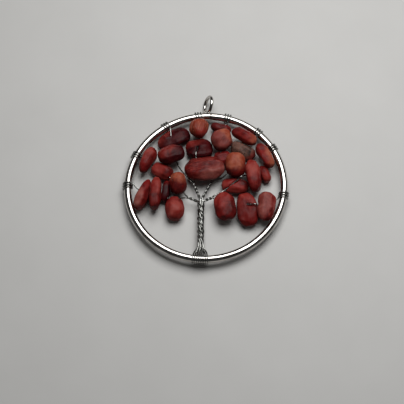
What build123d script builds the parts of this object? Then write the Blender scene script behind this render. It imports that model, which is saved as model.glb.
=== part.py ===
from build123d import *
import os
from collections import namedtuple
from math import atan2, ceil, cos, degrees, pi, radians, sin, sqrt

# A wire tree pendant, lying flat. +Y points to its bail and +Z up. Lengths are millimetres.

# Hoop and bail
hoop_outer_diameter = 50.0
hoop_wire_diameter = 2.3
bail_outer_diameter = 6.3
bail_wire_diameter = 1.1
bail_turn = 62.0
bail_seat = 0.25
solder_length = 1.9
solder_width = 1.7

# Tree wire
wire_diameter = 0.45
wire_gap = 0.04
wire_sides = 6
wrap_gap = 0.06
wrap_pitch = 0.78
wrap_turns = 2.6
wrap_entry = 132.0
foot_pitch = 0.63
foot_turns = 0.82
steps_per_turn = 12
pair_steps_per_turn = 9
bridge_step = 1.1

# Trunk, from its foot above the hoop to the fork
trunk_offset = -1.0
trunk_foot = -19.4
trunk_fork = -4.9
trunk_fork_offset = -1.35
trunk_twist = 1.5
trunk_winding = 1.5
trunk_ramp = 0.12
pair_pitch = 2.7
trunk_phase = 25.0
strand_phase = 36.0
trunk_room = 1.09
trunk_closeness = 0.95

# Stones
stone_bore = 0.9
bore_level = -0.005
run_length = 1.08
bend_room = 0.6
guide_reach = 0.3
stone_corner = 0.55
stone_end = 0.99

# Sizes that follow from these
hoop_radius = (hoop_outer_diameter - hoop_wire_diameter) / 2
crown = hoop_radius - hoop_wire_diameter / 2
wire_radius = wire_diameter / 2
wrap_radius = (hoop_wire_diameter / 2 + wire_radius + wrap_gap) / cos(pi / steps_per_turn)
pair_radius = wire_radius + wire_gap / 2
twist_radius = pair_radius * trunk_room
trunk_radius = (twist_radius + wire_radius) * sqrt(2) * trunk_closeness
branch_start = 2 * trunk_radius
rest_depth = 0.132 * crown

# The stones. Places and sizes are shares of the hoop's inner radius, and angles are degrees.
# heading and lift turn the stone's long axis, and roll turns it about that axis.
# hang is how far along the long axis the bore lies from the middle, as a share of the length.
# Stones lie above and below the hoop's plane to pass each other. Their bores all lie at bore_level.
Stone = namedtuple("Stone", "wire x y z long wide thick heading lift roll hang form taper bend rests")
stones = [
    Stone(1, -0.406, -0.315, 0.00, 0.34, 0.25, 0.20, 95, 0, 0, 0.36, "round", -0.12, 0.0, True),
    Stone(1, -0.535, -0.075, -0.035, 0.30, 0.16, 0.10, 85, 0, 90, -0.32, "slab", 0.0, 0.0, False),
    Stone(1, -0.669, -0.130, 0.03, 0.48, 0.20, 0.145, 88, 0, 90, 0.0, "slab", 0.0, 0.0, False),
    Stone(1, -0.840, -0.123, 0.00, 0.44, 0.20, 0.143, 72, 0, 90, 0.0, "wedge", -0.22, 0.0, False),
    Stone(2, -0.373, 0.015, 0.045, 0.30, 0.225, 0.20, 90, 20, 0, 0.0, "round", 0.0, 0.0, False),
    Stone(2, -0.602, 0.225, -0.030, 0.31, 0.215, 0.16, -25, 0, 0, 0.0, "round", 0.1, 0.0, False),
    Stone(2, -0.800, 0.358, 0.045, 0.38, 0.18, 0.16, 66, 0, 90, 0.0, "wedge", 0.2, 0.0, False),
    Stone(3, -0.475, 0.432, 0.070, 0.35, 0.255, 0.195, 18, 0, 0, 0.0, "round", 0.0, 0.0, False),
    Stone(3, -0.464, 0.715, 0.00, 0.47, 0.235, 0.165, 26, 0, 0, -0.04, "wedge", 0.12, 0.0, True),
    Stone(4, -0.015, 0.228, 0.070, 0.54, 0.35, 0.18, 7, 0, 0, -0.22, "lens", 0.0, 0.0, False),
    Stone(4, -0.103, 0.565, -0.035, 0.37, 0.26, 0.165, 5, 0, -6, 0.0, "slab", 0.0, 0.0, False),
    Stone(4, -0.112, 0.835, 0.065, 0.265, 0.26, 0.20, 80, 0, 0, 0.0, "round", 0.0, 0.0, False),
    Stone(5, 0.214, 0.432, -0.045, 0.235, 0.21, 0.15, 10, 0, 0, -0.1, "round", 0.0, 0.0, False),
    Stone(5, 0.200, 0.663, 0.064, 0.28, 0.25, 0.195, 20, 0, 8, 0.0, "slab", 0.0, 0.0, False),
    Stone(5, 0.185, 0.875, -0.020, 0.27, 0.140, 0.15, -14, 0, 0, 0.0, "round", 0.0, 0.0, False),
    Stone(6, 0.394, 0.287, 0.070, 0.33, 0.265, 0.215, 90, 15, 0, -0.15, "round", 0.0, 0.0, False),
    Stone(6, 0.489, 0.548, 0.00, 0.355, 0.20, 0.160, -30, 0, 0, 0.0, "round", 0.0, 0.0, True),
    Stone(6, 0.513, 0.718, 0.05, 0.38, 0.157, 0.16, -30, 0, 0, -0.08, "wedge", 0.0, -0.12, False),
    Stone(7, 0.388, 0.018, -0.030, 0.36, 0.215, 0.16, -5, 0, 0, 0.0, "round", 0.0, 0.0, False),
    Stone(7, 0.640, 0.135, 0.055, 0.46, 0.20, 0.185, 99, 0, 90, 0.10, "slab", 0.0, 0.0, False),
    Stone(7, 0.787, 0.200, -0.045, 0.25, 0.15, 0.14, 112, 0, 90, 0.10, "wedge", 0.0, 0.0, False),
    Stone(7, 0.792, 0.430, 0.055, 0.38, 0.19, 0.145, 120, 0, 90, -0.04, "slab", 0.0, 0.0, False),
    Stone(8, 0.268, -0.308, 0.035, 0.39, 0.29, 0.18, 100, 0, 0, 0.12, "round", 0.0, 0.0, False),
    Stone(8, 0.560, -0.325, 0.00, 0.47, 0.265, 0.170, 100, 0, 0, 0.1, "slab", 0.0, 0.0, True),
    Stone(8, 0.817, -0.312, 0.045, 0.40, 0.235, 0.18, 84, 0, 0, 0.0, "round", 0.1, 0.0, False),
]

# Where a wire shows in front of the stones: it rises through a place between two of its stones.
# after is how many stones the wire has passed, and places are shares of the hoop's inner radius.
Guide = namedtuple("Guide", "wire after x y z")
guides = [
    Guide(4, 1, -0.142, 0.465, 0.080),
    Guide(7, 1, 0.470, 0.100, 0.100),
    Guide(8, 2, 0.660, -0.280, 0.065),
]

# Corners of the stones' sections, as shares of half the width and half the thickness.
forms = {
    "round": [(1.1, 0.2), (0.45, 1.1), (-0.55, 1.05), (-1.1, 0.1), (-0.5, -1.1), (0.6, -1.05)],
    "slab": [(1.05, 0.85), (0.1, 1.1), (-1.05, 0.8), (-1.1, -0.7), (0.0, -1.1), (1.1, -0.85)],
    "wedge": [(1.1, 0.55), (0.25, 1.1), (-0.95, 0.85), (-1.1, -0.3), (-0.2, -1.1), (1.0, -0.75)],
    "lens": [(1.1, -0.1), (0.5, 0.95), (-0.5, 1.1), (-1.1, 0.0), (-0.45, -1.05), (0.55, -0.95)],
}

# How full a stone is along its length, from -1 to 1, and how full it is there.
stations = [-stone_end, -0.84, -0.5, 0.0, 0.5, 0.84, stone_end]
fullness = 2.5

# The branches. Each is a twisted pair that leaves the trunk and parts at a place in the crown.
# leaves is a share of the trunk's height, and places are shares of the hoop's inner radius.
Branch = namedtuple("Branch", "wires leaves x y z")
branches = [
    Branch((1, 2), 0.955, -0.250, -0.176, 0.03),
    Branch((3, 4), 1.000, -0.170, 0.045, 0.00),
    Branch((5, 6), 1.000, 0.070, 0.090, -0.07),
    Branch((7, 8), 0.970, 0.105, -0.175, 0.02),
]

# Where each tree wire ends round the hoop, in degrees from +X.
wrap_angles = {1: 180.8, 2: 155.6, 3: 123.0, 4: 97.2, 5: 75.2, 6: 49.1, 7: 32.0, 8: -7.2}


def direction(heading, lift):
    """A unit vector from its heading in the XY plane and its lift out of it, in radians."""
    return Vector(cos(heading) * cos(lift), sin(heading) * cos(lift), sin(lift))


def stone_axes(stone):
    """The stone's long, wide and thick directions."""
    heading, lift, roll = radians(stone.heading), radians(stone.lift), radians(stone.roll)
    long_way = direction(heading, lift)
    up = direction(heading, lift + pi / 2)
    side = up.cross(long_way)
    wide_way = side * cos(roll) + up * sin(roll)
    return long_way, wide_way, long_way.cross(wide_way)


def stone_body(stone):
    """A tumbled chip, lofted along its length through rounded sections, and its middle."""
    long_way, wide_way, _ = stone_axes(stone)
    middle = Vector(stone.x, stone.y, stone.z) * crown
    half_long, half_wide, half_thick = (size * crown / 2 for size in (stone.long, stone.wide, stone.thick))
    sections = []
    for station in stations:
        scale = (1 - abs(station) ** fullness) ** (1 / fullness) * (1 + stone.taper * station)
        place = middle + long_way * (half_long * station)
        place += wide_way * (2 * half_wide * stone.bend * (station ** 2 - 0.5))
        corners = [(across * half_wide * scale, up * half_thick * scale) for across, up in forms[stone.form]]
        outline = FilletPolyline(*corners, radius=stone_corner * half_thick * scale, close=True)
        sections.append(Plane(place, x_dir=wide_way, z_dir=long_way) * make_face(outline))
    body = loft(sections)
    if stone.rests:
        fall = Vector(0, 0, -rest_depth - body.bounding_box().min.Z)
        body = Pos(fall) * body
        middle += fall
    return body, middle


def reach(stone, way):
    """How far it is from the stone's middle to its skin along a direction."""
    sizes = (stone.long, stone.wide, stone.thick)
    shares = [abs(axis.dot(way)) / size for size, axis in zip(sizes, stone_axes(stone))]
    return crown / 2 / sum(share ** fullness for share in shares) ** (1 / fullness)


def bridge(start, start_way, end, end_way):
    """Points of a smooth curve from one piece of wire to the next, between its two ends."""
    span = (end - start).length
    steps = max(3, ceil(span / bridge_step))
    points = []
    for step in range(1, steps):
        t = step / steps
        points.append(
            start * (2 * t ** 3 - 3 * t ** 2 + 1)
            + end * (3 * t ** 2 - 2 * t ** 3)
            + start_way * (span * (t ** 3 - 2 * t ** 2 + t))
            + end_way * (span * (t ** 3 - t ** 2))
        )
    return points


def way_in(points):
    return (points[1] - points[0]).normalized()


def way_out(points):
    return (points[-1] - points[-2]).normalized()


def joined(pieces):
    """One run of points through several pieces of wire, with a smooth bridge between each two."""
    points = list(pieces[0])
    for piece in pieces[1:]:
        points += bridge(points[-1], way_out(points), piece[0], way_in(piece))
        points += piece
    return points


def hoop_helix(angle, pitch, entry, turns, offset=0.0):
    """A wire wound round the hoop: it comes from inside, over the top, and goes round."""
    count = round(turns * steps_per_turn)
    points = []
    for step in range(count + 1):
        turn = step / steps_per_turn
        around = radians(entry) - 2 * pi * turn
        along = radians(angle) + (offset + pitch * (turn - turns / 2)) / hoop_radius
        out = hoop_radius + wrap_radius * cos(around)
        points.append(Vector(out * cos(along), out * sin(along), wrap_radius * sin(around)))
    return points


def trunk_centre(height):
    """The middle of the trunk, at a share of the way from its foot to its fork."""
    foot = Vector(trunk_offset, trunk_foot, 0)
    fork = Vector(trunk_fork_offset, trunk_fork, 0)
    return foot + (fork - foot) * height


def lay(height):
    """How much of the twist lies below a height. The strands run straight at the trunk's two ends."""
    if height < trunk_ramp:
        below = height ** 2 / (2 * trunk_ramp)
    elif height > 1 - trunk_ramp:
        below = 1 - trunk_ramp - (1 - height) ** 2 / (2 * trunk_ramp)
    else:
        below = height - trunk_ramp / 2
    return below / (1 - trunk_ramp)


def trunk_point(strand, height):
    """A strand in the trunk: the strands are twisted in pairs, and the four pairs wind round each other."""
    pair, side = divmod(strand, 2)
    pair_angle = pi / 2 * pair + radians(trunk_phase) + 2 * pi * trunk_winding * lay(height)
    strand_angle = pair_angle + pi * side + radians(strand_phase) + 2 * pi * trunk_twist * lay(height)
    pair_way = Vector(cos(pair_angle), 0, sin(pair_angle))
    strand_way = Vector(cos(strand_angle), 0, sin(strand_angle))
    return trunk_centre(height) + pair_way * trunk_radius + strand_way * twist_radius


def trunk_run(strand, top):
    """The strand's points from the trunk's foot up to where it leaves."""
    count = ceil((trunk_twist + trunk_winding) * top * steps_per_turn)
    return [trunk_point(strand, top * step / count) for step in range(count + 1)]


def strands_at_fork():
    """The eight strands from left to right where the trunk ends."""
    return sorted(range(8), key=lambda strand: trunk_point(strand, 1).X)


def strands_at_foot():
    """The eight strands from left to right where the trunk begins."""
    return sorted(range(8), key=lambda strand: trunk_point(strand, 0).X)


def square_to(way, across):
    """The part of a vector that is square to a direction, at unit length."""
    return (across - way * way.dot(across)).normalized()


def branch_run(branch, wire, tops, targets):
    """One wire of a twisted pair, turned so that it starts and parts on its own side."""
    start = trunk_centre(branch.leaves)
    part = Vector(branch.x, branch.y, branch.z) * crown
    way = (part - start).normalized()
    start += way * branch_start
    length = (part - start).length
    first, second = branch.wires
    across = square_to(way, tops[first] - tops[second])
    beside = way.cross(across)
    leave = square_to(way, targets[first] - targets[second])
    last_turn = atan2(leave.dot(beside), leave.dot(across)) / (2 * pi)
    turns = round(length / pair_pitch - last_turn) + last_turn
    side = 1 if wire == first else -1
    count = ceil(abs(turns) * pair_steps_per_turn)
    points = []
    for step in range(count + 1):
        share = step / count
        angle = 2 * pi * turns * share
        points.append(start + way * (length * share)
                      + (across * cos(angle) + beside * sin(angle)) * (side * pair_radius))
    return points


def straight_length(stop, way):
    """How far a wire keeps straight on one side of a stop: a stone, a guide, or an end of the threaded part."""
    if stop in stones:
        return run_length * reach(stop, way)
    return guide_reach


def straight_runs(passes, places, start, end):
    """The straight piece of wire through each stone or guide along one wire.

    A bore runs from where the wire comes in to where it goes out. Where two stones crowd, both give way.
    """
    stops = [start] + places + [end]
    comes_out = []
    goes_in = []
    for before, after, first, last in zip(stops[:-1], stops[1:], [None] + passes, passes + [None]):
        way = (after - before).normalized()
        spans = [straight_length(stop, way) if stop else 0 for stop in (first, last)]
        squeeze = min(1, ((after - before).length - bend_room) / sum(spans))
        comes_out.append(before + way * (spans[0] * squeeze))
        goes_in.append(after - way * (spans[1] * squeeze))
    return [[inlet, (inlet + outlet) / 2, outlet] for inlet, outlet in zip(goes_in[:-1], comes_out[1:])]


def tube(points, radius, sides):
    """A wire with flat sides along a run of points: prisms that meet in mitres, closed at both ends."""
    ways = [(after - before).normalized() for before, after in zip(points[:-1], points[1:])]
    across = square_to(ways[0], Vector(0, 0, 1))
    beside = ways[0].cross(across)
    ring = []
    for side in range(sides):
        angle = 2 * pi * side / sides
        ring.append(points[0] + (across * cos(angle) + beside * sin(angle)) * radius)
    faces = [Face(Wire.make_polygon(ring))]
    for place, way in enumerate(ways, start=1):
        mitre = (way + ways[min(place, len(ways) - 1)]).normalized()
        following = [corner + way * ((points[place] - corner).dot(mitre) / way.dot(mitre)) for corner in ring]
        for side in range(sides):
            beyond = (side + 1) % sides
            faces.append(Face(Wire.make_polygon([ring[side], ring[beyond], following[beyond], following[side]])))
        ring = following
    faces.append(Face(Wire.make_polygon(ring)))
    return Solid(Shell(faces))


def make_hoop_with_bail():
    """The hoop, and the bail soldered to it at the top."""
    hoop = Torus(hoop_radius, hoop_wire_diameter / 2)
    bail_radius = (bail_outer_diameter - bail_wire_diameter) / 2
    seat = hoop_outer_diameter / 2 - bail_seat
    bail = Torus(bail_radius, bail_wire_diameter / 2)
    bail_place = Pos(0, seat + bail_outer_diameter / 2, 0) * Rot(0, -bail_turn, 0)
    solder = Pos(0, hoop_outer_diameter / 2 - hoop_wire_diameter / 4, 0) * scale(
        Sphere(1), by=(solder_length / 2, solder_width / 2, solder_width / 2)
    )
    return hoop + bail_place * bail + solder


def wire_routes(middles):
    """The centre line of each tree wire, from the hoop's foot to its end round the hoop."""
    passes = {wire: [] for wire in wrap_angles}
    places = {wire: [] for wire in wrap_angles}
    for stone, middle in zip(stones, middles):
        hole = middle + stone_axes(stone)[0] * (stone.hang * stone.long * crown)
        passes[stone.wire].append(stone)
        places[stone.wire].append(Vector(hole.X, hole.Y, bore_level * crown))
    for guide in guides:
        passes[guide.wire].insert(guide.after, guide)
        places[guide.wire].insert(guide.after, Vector(guide.x, guide.y, guide.z) * crown)
    bored = []
    wraps = {}
    for wire, angle in wrap_angles.items():
        wraps[wire] = hoop_helix(angle, wrap_pitch, wrap_entry, wrap_turns)
    order = strands_at_fork()
    feet = strands_at_foot()
    strands = {wire: order[wire - 1] for wire in wrap_angles}
    routes = {}
    for branch in branches:
        tops = {wire: trunk_point(strands[wire], branch.leaves) for wire in branch.wires}
        targets = {wire: places[wire][0] for wire in branch.wires}
        for wire in branch.wires:
            place = feet.index(strands[wire]) - (len(feet) - 1) / 2
            foot = hoop_helix(-90 + degrees(trunk_offset / hoop_radius), 0, wrap_entry, foot_turns,
                              offset=place * foot_pitch)
            pieces = [foot[::-1], trunk_run(strands[wire], branch.leaves)]
            pieces.append(branch_run(branch, wire, tops, targets))
            runs = straight_runs(passes[wire], places[wire], pieces[-1][-1], wraps[wire][0])
            bored += [run for stop, run in zip(passes[wire], runs) if stop in stones]
            routes[wire] = joined(pieces + runs + [wraps[wire]])
    return routes, bored


def bore(run):
    """A drill along the wire's own straight run through a stone."""
    return Plane(run[1], z_dir=way_in(run)) * Cylinder(stone_bore / 2, crown / 2)


def main():
    bodies = [stone_body(stone) for stone in stones]
    routes, bored = wire_routes([middle for _, middle in bodies])
    pieces = {"hoop_with_bail": make_hoop_with_bail()}
    for wire, route in sorted(routes.items()):
        pieces[f"tree_wire_{wire}"] = tube(route, wire_radius, wire_sides)
    for number, ((body, _), run) in enumerate(zip(bodies, bored), start=1):
        pieces[f"stone_chip_{number:02d}"] = body - bore(run)
    boxes = [piece.bounding_box() for piece in pieces.values()]
    low = [min(getattr(box.min, way) for box in boxes) for way in "XYZ"]
    high = [max(getattr(box.max, way) for box in boxes) for way in "XYZ"]
    to_origin = Pos(-(low[0] + high[0]) / 2, -(low[1] + high[1]) / 2, -low[2])
    os.makedirs("parts", exist_ok=True)
    for name, piece in pieces.items():
        export_step(to_origin * piece, f"parts/{name}.step")


main()
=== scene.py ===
import bmesh
import bpy
from collections import namedtuple
from math import cos, pi, radians, sin
from random import Random
from mathutils import Matrix, Vector, noise


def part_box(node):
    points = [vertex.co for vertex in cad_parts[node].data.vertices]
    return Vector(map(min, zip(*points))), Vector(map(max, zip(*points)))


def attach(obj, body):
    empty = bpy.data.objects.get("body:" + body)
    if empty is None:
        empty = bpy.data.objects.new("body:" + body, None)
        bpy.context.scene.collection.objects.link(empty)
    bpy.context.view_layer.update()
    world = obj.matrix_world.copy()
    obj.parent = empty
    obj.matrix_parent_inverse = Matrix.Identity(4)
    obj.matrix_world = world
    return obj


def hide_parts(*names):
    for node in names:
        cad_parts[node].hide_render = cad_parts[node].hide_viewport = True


# A wire tree pendant lying on a pale surface. Lengths are metres.
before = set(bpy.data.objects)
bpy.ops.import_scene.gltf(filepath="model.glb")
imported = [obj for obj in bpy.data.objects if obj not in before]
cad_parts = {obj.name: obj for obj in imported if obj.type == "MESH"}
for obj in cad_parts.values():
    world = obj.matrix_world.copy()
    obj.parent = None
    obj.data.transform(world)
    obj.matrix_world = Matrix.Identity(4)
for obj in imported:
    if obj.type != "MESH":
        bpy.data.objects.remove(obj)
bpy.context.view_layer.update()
mm = 0.001

# Sizes that the frame doesn't state
weld_distance = 0.002 * mm
chip_voxel = 0.14 * mm
chip_facets = 5
facet_depth = (0.90, 0.99)
chip_smooth_rounds = 12
chip_smooth_strength = 0.5
chip_growth = 0.10 * mm
resting_gap = 0.01 * mm
lump_height = 0.40 * mm
lump_size = 2.7 * mm
ripple_height = 0.05 * mm
ripple_size = 0.8 * mm
wire_radius = 0.225 * mm
wire_sides_in_frame = 6
wire_smooth_levels = 2
flat_angle = radians(0.5)
seam_offset = 1.0 * mm
seam_width = 0.22 * mm

# The camera, from the photo's view of the hoop
hoop_low, hoop_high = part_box("hoop_with_bail")
hoop_across = hoop_high.x - hoop_low.x
hoop_middle = (hoop_low + hoop_high) / 2
hoop_centre = Vector((hoop_middle.x, hoop_low.y + hoop_across / 2, hoop_middle.z))
camera_azimuth = 8.1
camera_elevation = 66.2
camera_roll = 7.0
camera_distance = 348.1 * mm
camera_lens = 101.8
sensor_width = 36.0
nearest_seen = 10 * mm
photo_side = 404
hoop_centre_pixel = (205.7, 186.05)

# The surface and the light
surface_reach = 1.5
surface_grain = 45
surface_colours = ((0.47, 0.465, 0.45), (0.52, 0.515, 0.50))
surface_roughness = 0.55
surface_shine = 0.25
softbox_centre = (0.046, 0.100, 0.28)
softbox_aim = (0.000, 0.010, 0.0)
softbox_side = 0.23
softbox_watts = 1.07
room_grey = (0.5, 0.5, 0.5, 1)
room_strength = 0.095

# Metal. grain is how fine its wear is. Its dull clouds have cloud_share of that grain.
Metal = namedtuple("Metal", "slot colour dull rough rough_spread grain")
hoop_metal = Metal("hoop_metal", (0.62, 0.595, 0.565), (0.40, 0.37, 0.34), 0.05, 0.04, 900)
wire_metal = Metal("wire_metal", (0.29, 0.29, 0.275), (0.12, 0.12, 0.11), 0.20, 0.12, 1500)
seam_colour = (0.05, 0.045, 0.04)
seam_squash = (1.0, 0.1, 0.1)
cloud_share = 0.25
dull_clouds = (0.42, 0.72)
rough_wear = (0.3, 0.75)
wear_depth = 0.01 * mm
wear_strength = 0.35

# Stone. The pairs are where each pattern of the noise begins to show and where it shows in full.
noise_roughness = 0.55
cloud_grain = 330
cloud_bend = 0.6
body_clouds = (0.32, 0.66)
second_clouds = (0.30, 0.70)
rough_clouds = (0.3, 0.7)
streak_grain = (180.0, 1500.0, 900.0)
streak_bend = 1.2
streak_edges = (0.47, 0.64)
speck_edges = (0.58, 0.72)
second_edge_waver = 0.7
second_begins = 0.2
second_full = 0.95
pit_grain = 3800
pit_edges = (0.30, 0.55)
pit_depth = 0.03 * mm
swell_grain = 800
swell_depth = 0.12 * mm
bump_strength = 0.5
stone_roughness = (0.30, 0.44)
stone_shine = 0.08
glow_share = 0.18
glow_colours = (1.0, 0.22, 0.14)
glow_depth = 0.9 * mm

# Stone tones, as linear colours: the dark clouds, the body and the pale streaks.
# specks is how strong the dark specks are, and speck_grain how fine.
Tone = namedtuple("Tone", "deep body pale specks speck_grain")
tones = {
    "red": Tone((0.056, 0.006, 0.006), (0.122, 0.007, 0.006), (0.190, 0.028, 0.022), 0.45, 2600),
    "bright": Tone((0.078, 0.006, 0.006), (0.162, 0.009, 0.008), (0.245, 0.038, 0.030), 0.30, 2600),
    "dark": Tone((0.020, 0.002, 0.003), (0.052, 0.003, 0.004), (0.090, 0.012, 0.012), 0.45, 2600),
    "orange": Tone((0.110, 0.012, 0.006), (0.215, 0.034, 0.016), (0.310, 0.085, 0.048), 0.35, 2600),
    "coral": Tone((0.090, 0.006, 0.005), (0.175, 0.014, 0.011), (0.260, 0.050, 0.040), 0.25, 2600),
    "pink": Tone((0.095, 0.014, 0.012), (0.175, 0.034, 0.028), (0.260, 0.085, 0.070), 0.35, 2600),
    "mottled": Tone((0.018, 0.011, 0.009), (0.130, 0.062, 0.046), (0.250, 0.165, 0.130), 0.95, 1500),
}

# How each chip looks. The third column is the direction in the frame where its second tone lies. That tone is
# partly the stone's own tint and partly painted light: on some chips it is a lighter, painted lit top or
# side.
# reach is how far that tone comes, from -1 for all over to 1 for none. streaks run along a heading.
Look = namedtuple("Look", "tone second toward reach streaks heading")
looks = {
    # Chip 1: the coral over its top is partly its tint and partly a painted highlight.
    1: Look("bright", "coral", (0.2, -0.2, 1.0), 0.45, 0.25, 95),
    # Chip 2: its dark tone is painted shade, for a chip lying low in the shadow of its neighbours.
    2: Look("dark", "red", (0.0, 1.0, 0.5), 0.60, 0.20, 85),
    3: Look("red", "bright", (0.2, 0.6, 0.8), 0.35, 0.35, 88),
    # Chip 4: the pink toward its top is partly its tint and partly a painted highlight.
    4: Look("bright", "pink", (-0.6, 0.0, 0.8), 0.75, 0.30, 72),
    # Chip 5: the orange on its upper end is partly its own tint and partly painted light, a lit top.
    5: Look("red", "orange", (0.2, 0.8, 0.6), 0.25, 0.15, 90),
    6: Look("red", "bright", (-0.5, 0.3, 0.8), 0.40, 0.30, -25),
    # Chip 7: the coral toward its top is partly its tint and partly a painted highlight.
    7: Look("bright", "coral", (-0.5, 0.6, 0.8), 0.60, 0.30, 68),
    8: Look("dark", "red", (-0.6, 0.4, 0.7), 0.50, 0.25, 60),
    9: Look("dark", "red", (-0.7, 0.5, 0.5), 0.45, 0.25, 28),
    # Chip 10: the pink toward its right and top is partly its tint and partly painted sheen.
    10: Look("red", "pink", (0.5, -0.6, 0.6), 0.65, 0.95, 12),
    11: Look("dark", "red", (-0.5, 0.7, 0.4), 0.60, 0.25, 5),
    12: Look("orange", "bright", (0.3, -0.9, 0.0), 0.30, 0.95, 80),
    13: Look("bright", "dark", (0.0, -0.7, -0.5), 0.55, 0.20, 10),
    # Chip 14: its pale pink is partly its tint and partly painted sheen on the facet that faces the light.
    14: Look("pink", "orange", (0.7, 0.7, 0.3), 0.55, 0.35, 60),
    15: Look("red", "dark", (-0.6, 0.2, 0.0), 0.30, 0.25, -18),
    # Chip 16: the orange spread over its top is painted light, a lit top.
    16: Look("red", "orange", (0.0, 0.5, 1.0), 0.12, 0.20, 90),
    17: Look("mottled", "red", (0.6, -0.6, -0.4), 0.70, 0.20, -30),
    18: Look("bright", "orange", (0.8, -0.2, 0.5), 0.80, 0.35, -30),
    19: Look("red", "bright", (-0.2, -0.4, 0.8), 0.45, 0.25, -5),
    20: Look("bright", "coral", (0.2, 0.5, 1.0), 0.50, 0.45, 99),
    21: Look("bright", "coral", (0.5, -0.4, 0.5), 0.70, 0.30, 112),
    22: Look("bright", "orange", (0.9, 0.2, 0.4), 0.35, 0.30, 122),
    23: Look("red", "bright", (-0.3, 0.3, 0.9), 0.70, 0.12, 100),
    24: Look("red", "bright", (0.2, 0.6, 0.6), 0.45, 0.30, 100),
    # Chip 25: the pink over its top is partly its tint and partly painted sheen.
    25: Look("bright", "pink", (-0.3, 0.0, 1.0), 0.60, 0.90, 84),
}


def linked(name, data):
    """A new object at the origin that holds a mesh, a light or a camera."""
    piece = bpy.data.objects.new(name, data)
    bpy.context.scene.collection.objects.link(piece)
    return piece


def merged_copy(node, name):
    """A copy of a CAD node with its loose triangles joined."""
    shape = bmesh.new()
    shape.from_mesh(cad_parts[node].data)
    bmesh.ops.remove_doubles(shape, verts=shape.verts, dist=weld_distance)
    mesh = bpy.data.meshes.new(name)
    shape.to_mesh(mesh)
    shape.free()
    return linked(name, mesh)


def finished(piece):
    """Applies a piece's modifiers and shades it smooth."""
    graph = bpy.context.evaluated_depsgraph_get()
    mesh = bpy.data.meshes.new_from_object(piece.evaluated_get(graph))
    piece.modifiers.clear()
    piece.data = mesh
    for face in mesh.polygons:
        face.use_smooth = True
    return piece


def worn_smooth(piece, number, centre):
    """Gives a chip the lumps, facets and rounded edges of tumbled stone, and keeps it above the surface."""
    remesh = piece.modifiers.new("skin", "REMESH")
    remesh.mode = "VOXEL"
    remesh.voxel_size = chip_voxel
    finished(piece)
    mesh = piece.data
    offsets = []
    for point in mesh.vertices:
        lump = noise.noise(point.co / lump_size)
        ripple = noise.noise(point.co / ripple_size)
        offsets.append(point.normal * (chip_growth + lump * lump_height + ripple * ripple_height))
    for point, offset in zip(mesh.vertices, offsets):
        point.co += offset
    chance = Random(number)
    for _ in range(chip_facets):
        way = Vector([chance.gauss(0, 1) for _ in range(3)]).normalized()
        furthest = max((point.co - centre).dot(way) for point in mesh.vertices)
        limit = furthest * chance.uniform(*facet_depth)
        for point in mesh.vertices:
            beyond = (point.co - centre).dot(way) - limit
            if beyond > 0:
                point.co -= way * beyond
    smooth = piece.modifiers.new("tumbled", "SMOOTH")
    smooth.factor = chip_smooth_strength
    smooth.iterations = chip_smooth_rounds
    finished(piece)
    for point in piece.data.vertices:
        point.co.z = max(point.co.z, resting_gap)


def rounded_wire(piece):
    """Turns a wire's flat sides round. Smoothing draws its corners in, so they first move out as far."""
    shape = bmesh.new()
    shape.from_mesh(piece.data)
    bmesh.ops.dissolve_limit(shape, angle_limit=flat_angle, verts=shape.verts, edges=shape.edges)
    shape.normal_update()
    swell = 3 / (2 + cos(2 * pi / wire_sides_in_frame)) - 1
    grow = [(point, point.normal * (wire_radius * swell)) for point in shape.verts]
    for point, move in grow:
        point.co += move
    shape.to_mesh(piece.data)
    shape.free()
    subdivision = piece.modifiers.new("round", "SUBSURF")
    subdivision.levels = wire_smooth_levels
    subdivision.render_levels = wire_smooth_levels
    finished(piece)


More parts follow.
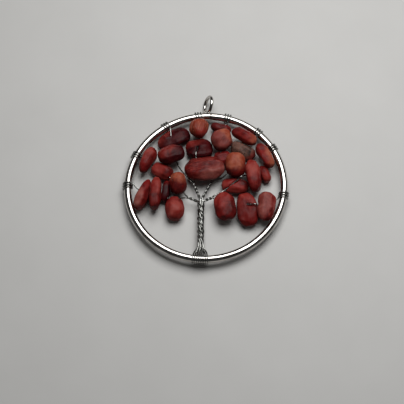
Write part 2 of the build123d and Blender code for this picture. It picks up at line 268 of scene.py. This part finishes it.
class Graph:
    """A material's nodes, with short calls that add and join them."""

    def __init__(self, name):
        self.material = bpy.data.materials.new(name)
        self.material.use_nodes = True
        self.tree = self.material.node_tree
        self.tree.nodes.clear()
        self.shader = self.add("ShaderNodeBsdfPrincipled")
        output = self.add("ShaderNodeOutputMaterial")
        self.join(self.shader.outputs["BSDF"], output.inputs["Surface"])

    def add(self, kind, **settings):
        node = self.tree.nodes.new(kind)
        for name, value in settings.items():
            setattr(node, name, value)
        return node

    def join(self, out, into):
        self.tree.links.new(out, into)

    def feed(self, socket, value):
        """Joins an output to a socket, or sets the socket to a constant."""
        if isinstance(value, bpy.types.NodeSocket):
            self.join(value, socket)
        elif isinstance(value, tuple) and len(value) == 3 and len(socket.default_value) == 4:
            socket.default_value = (*value, 1)
        else:
            socket.default_value = value

    def place(self):
        return self.add("ShaderNodeTexCoord").outputs["Object"]

    def vector(self, operation, first, second=None):
        node = self.add("ShaderNodeVectorMath", operation=operation)
        self.feed(node.inputs[0], first)
        if second is not None:
            self.feed(node.inputs[1], second)
        return node.outputs["Value"] if operation in ("DOT_PRODUCT", "LENGTH") else node.outputs["Vector"]

    def maths(self, operation, first, second):
        node = self.add("ShaderNodeMath", operation=operation)
        self.feed(node.inputs[0], first)
        self.feed(node.inputs[1], second)
        return node.outputs[0]

    def turned(self, place, centre, heading):
        """Coordinates about a centre, with X along a heading."""
        node = self.add("ShaderNodeMapping", vector_type="TEXTURE")
        self.feed(node.inputs["Vector"], place)
        node.inputs["Location"].default_value = centre
        node.inputs["Rotation"].default_value = (0, 0, radians(heading))
        return node.outputs["Vector"]

    def grain(self, place, scale, detail, distortion=0.0):
        """Soft noise, from 0 to 1."""
        node = self.add("ShaderNodeTexNoise")
        self.feed(node.inputs["Vector"], place)
        node.inputs["Scale"].default_value = scale
        node.inputs["Detail"].default_value = detail
        node.inputs["Distortion"].default_value = distortion
        node.inputs["Roughness"].default_value = noise_roughness
        return node.outputs["Fac"]

    def between(self, value, low, high, to_low=0.0, to_high=1.0):
        """A smooth step from to_low, where the value is low, to to_high, where it is high."""
        node = self.add("ShaderNodeMapRange", interpolation_type="SMOOTHSTEP")
        self.feed(node.inputs["Value"], value)
        node.inputs["From Min"].default_value = low
        node.inputs["From Max"].default_value = high
        node.inputs["To Min"].default_value = to_low
        node.inputs["To Max"].default_value = to_high
        return node.outputs["Result"]

    def blend(self, share, first, second):
        node = self.add("ShaderNodeMix", data_type="RGBA")
        self.feed(node.inputs["Factor"], share)
        self.feed(node.inputs[6], first)
        self.feed(node.inputs[7], second)
        return node.outputs[2]

    def bump(self, height, distance, strength, over=None):
        node = self.add("ShaderNodeBump")
        self.feed(node.inputs["Height"], height)
        node.inputs["Distance"].default_value = distance
        node.inputs["Strength"].default_value = strength
        if over is not None:
            self.join(over, node.inputs["Normal"])
        return node.outputs["Normal"]

    def give(self, **sockets):
        for name, value in sockets.items():
            self.feed(self.shader.inputs[name.replace("_", " ")], value)


def metal_finish(metal, seam=None):
    """Plated metal with slight dulling and fine wear. A seam is where a ring's two ends meet."""
    graph = Graph(metal.slot)
    place = graph.place()
    cloud = graph.grain(place, metal.grain * cloud_share, detail=4)
    fine = graph.grain(place, metal.grain, detail=6)
    dulled = graph.between(cloud, *dull_clouds)
    colour = graph.blend(dulled, metal.colour, metal.dull)
    if seam:
        apart = graph.vector("MULTIPLY", graph.vector("SUBTRACT", place, tuple(seam)), seam_squash)
        colour = graph.blend(graph.between(graph.vector("LENGTH", apart), seam_width / 2, seam_width * 2),
                             seam_colour, colour)
    graph.give(
        Base_Color=colour,
        Metallic=1.0,
        Roughness=graph.between(fine, *rough_wear, metal.rough, metal.rough + metal.rough_spread),
        Normal=graph.bump(fine, wear_depth, wear_strength),
    )
    return graph.material


def stone_finish(number, look, low, high):
    """Tumbled stone: clouded, streaked, with a second tone on one side, and fine pits. The second tone is
    partly the stone's own tint and partly painted light, a lighter lit top or side.
    """
    graph = Graph(f"stone_{number:02d}")
    centre = (low + high) / 2
    half = (high - low) / 2
    place = graph.place()
    about = graph.turned(place, centre, look.heading)
    tone, second = tones[look.tone], tones[look.second]
    cloud = graph.grain(place, cloud_grain, detail=6, distortion=cloud_bend)
    streak_place = graph.vector("MULTIPLY", about, streak_grain)
    streak = graph.grain(streak_place, 1.0, detail=5, distortion=streak_bend)
    body = graph.blend(graph.between(cloud, *body_clouds), tone.deep, tone.body)
    streaked = graph.maths("MULTIPLY", graph.between(streak, *streak_edges), look.streaks)
    body = graph.blend(streaked, body, tone.pale)
    # The second tone and its mask toward one side: partly the stone's own tint, partly painted light on a lit
    # top or side.
    tint_and_lit_tone = graph.blend(graph.between(cloud, *second_clouds), second.body, second.pale)
    toward = Vector(look.toward).normalized()
    reach = max(abs(toward.x) * half.x, abs(toward.y) * half.y, abs(toward.z) * half.z)
    along = graph.vector("DOT_PRODUCT", graph.vector("SUBTRACT", place, tuple(centre)), tuple(toward / reach))
    wavering = graph.maths("ADD", along, graph.maths("MULTIPLY", cloud, second_edge_waver))
    share = graph.between(wavering, look.reach + second_begins, look.reach + second_full)
    colour = graph.blend(share, body, tint_and_lit_tone)
    speck = graph.grain(place, tone.speck_grain, detail=3)
    colour = graph.blend(graph.between(speck, *speck_edges, 0.0, tone.specks), colour, tone.deep)
    pits = graph.grain(place, pit_grain, detail=4)
    swell = graph.grain(place, swell_grain, detail=3)
    normal = graph.bump(graph.between(pits, *pit_edges), pit_depth, bump_strength)
    normal = graph.bump(swell, swell_depth, bump_strength, over=normal)
    graph.give(
        Base_Color=colour,
        Roughness=graph.between(cloud, *rough_clouds, *stone_roughness),
        Specular_IOR_Level=stone_shine,
        Subsurface_Weight=glow_share,
        Subsurface_Radius=glow_colours,
        Subsurface_Scale=glow_depth,
        Normal=normal,
    )
    return graph.material


def dressed(piece, node, material):
    """Gives a piece its material and lets it stand for its CAD node."""
    piece.data.materials.clear()
    piece.data.materials.append(material)
    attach(piece, "root")
    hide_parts(node)


def make_chips():
    for number, look in looks.items():
        node = f"stone_chip_{number:02d}"
        piece = merged_copy(node, f"chip_{number:02d}")
        low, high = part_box(node)
        worn_smooth(piece, number, (low + high) / 2)
        dressed(piece, node, stone_finish(number, look, low, high))


def make_wires():
    material = metal_finish(wire_metal)
    for node in sorted(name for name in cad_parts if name.startswith("tree_wire_")):
        piece = merged_copy(node, node.replace("tree_wire", "branch_wire"))
        rounded_wire(piece)
        dressed(piece, node, material)


def make_hoop():
    piece = finished(merged_copy("hoop_with_bail", "hoop_and_bail"))
    seam = hoop_centre + Vector((seam_offset, hoop_across / 2, 0))
    dressed(piece, "hoop_with_bail", metal_finish(hoop_metal, seam))


def make_floor():
    shape = bmesh.new()
    bmesh.ops.create_grid(shape, x_segments=1, y_segments=1, size=surface_reach)
    mesh = bpy.data.meshes.new("floor")
    shape.to_mesh(mesh)
    shape.free()
    floor = linked("floor", mesh)
    graph = Graph("pale_board")
    cloud = graph.grain(graph.place(), surface_grain, detail=3)
    graph.give(
        Base_Color=graph.blend(cloud, *surface_colours),
        Roughness=surface_roughness,
        Specular_IOR_Level=surface_shine,
    )
    mesh.materials.append(graph.material)


def make_softbox():
    light = bpy.data.lights.new("overhead", "AREA")
    light.shape = "RECTANGLE"
    light.size = softbox_side
    light.size_y = softbox_side
    light.energy = softbox_watts
    lamp = linked("overhead", light)
    lamp.location = softbox_centre
    lamp.rotation_mode = "QUATERNION"
    lamp.rotation_quaternion = (Vector(softbox_aim) - Vector(softbox_centre)).to_track_quat("-Z", "Y")
    lamp.visible_camera = False


def make_room_light():
    world = bpy.data.worlds.new("room")
    world.use_nodes = True
    background = world.node_tree.nodes["Background"]
    background.inputs["Color"].default_value = room_grey
    background.inputs["Strength"].default_value = room_strength
    bpy.context.scene.world = world


def make_camera():
    """The camera, placed so that the hoop's centre falls on its own pixel."""
    azimuth, elevation, roll = (radians(a) for a in (camera_azimuth, camera_elevation, camera_roll))
    back = Vector((sin(azimuth) * cos(elevation), -cos(azimuth) * cos(elevation), sin(elevation)))
    level = Vector((cos(azimuth), sin(azimuth), 0))
    steep = back.cross(level)
    right = level * cos(roll) - steep * sin(roll)
    up = level * sin(roll) + steep * cos(roll)
    pixel = camera_distance * sensor_width / camera_lens / photo_side
    off_right = (hoop_centre_pixel[0] - photo_side / 2) * pixel
    off_up = (photo_side / 2 - hoop_centre_pixel[1]) * pixel
    data = bpy.data.cameras.new("camera")
    data.lens = camera_lens
    data.sensor_width = sensor_width
    data.clip_start = nearest_seen
    camera = linked("camera", data)
    turn = Matrix((right, up, back)).transposed().to_4x4()
    place = hoop_centre + back * camera_distance - right * off_right - up * off_up
    camera.matrix_world = Matrix.Translation(place) @ turn
    bpy.context.scene.camera = camera


make_chips()
make_wires()
make_hoop()
make_floor()
make_softbox()
make_room_light()
make_camera()
bpy.context.scene.view_settings.view_transform = "Standard"
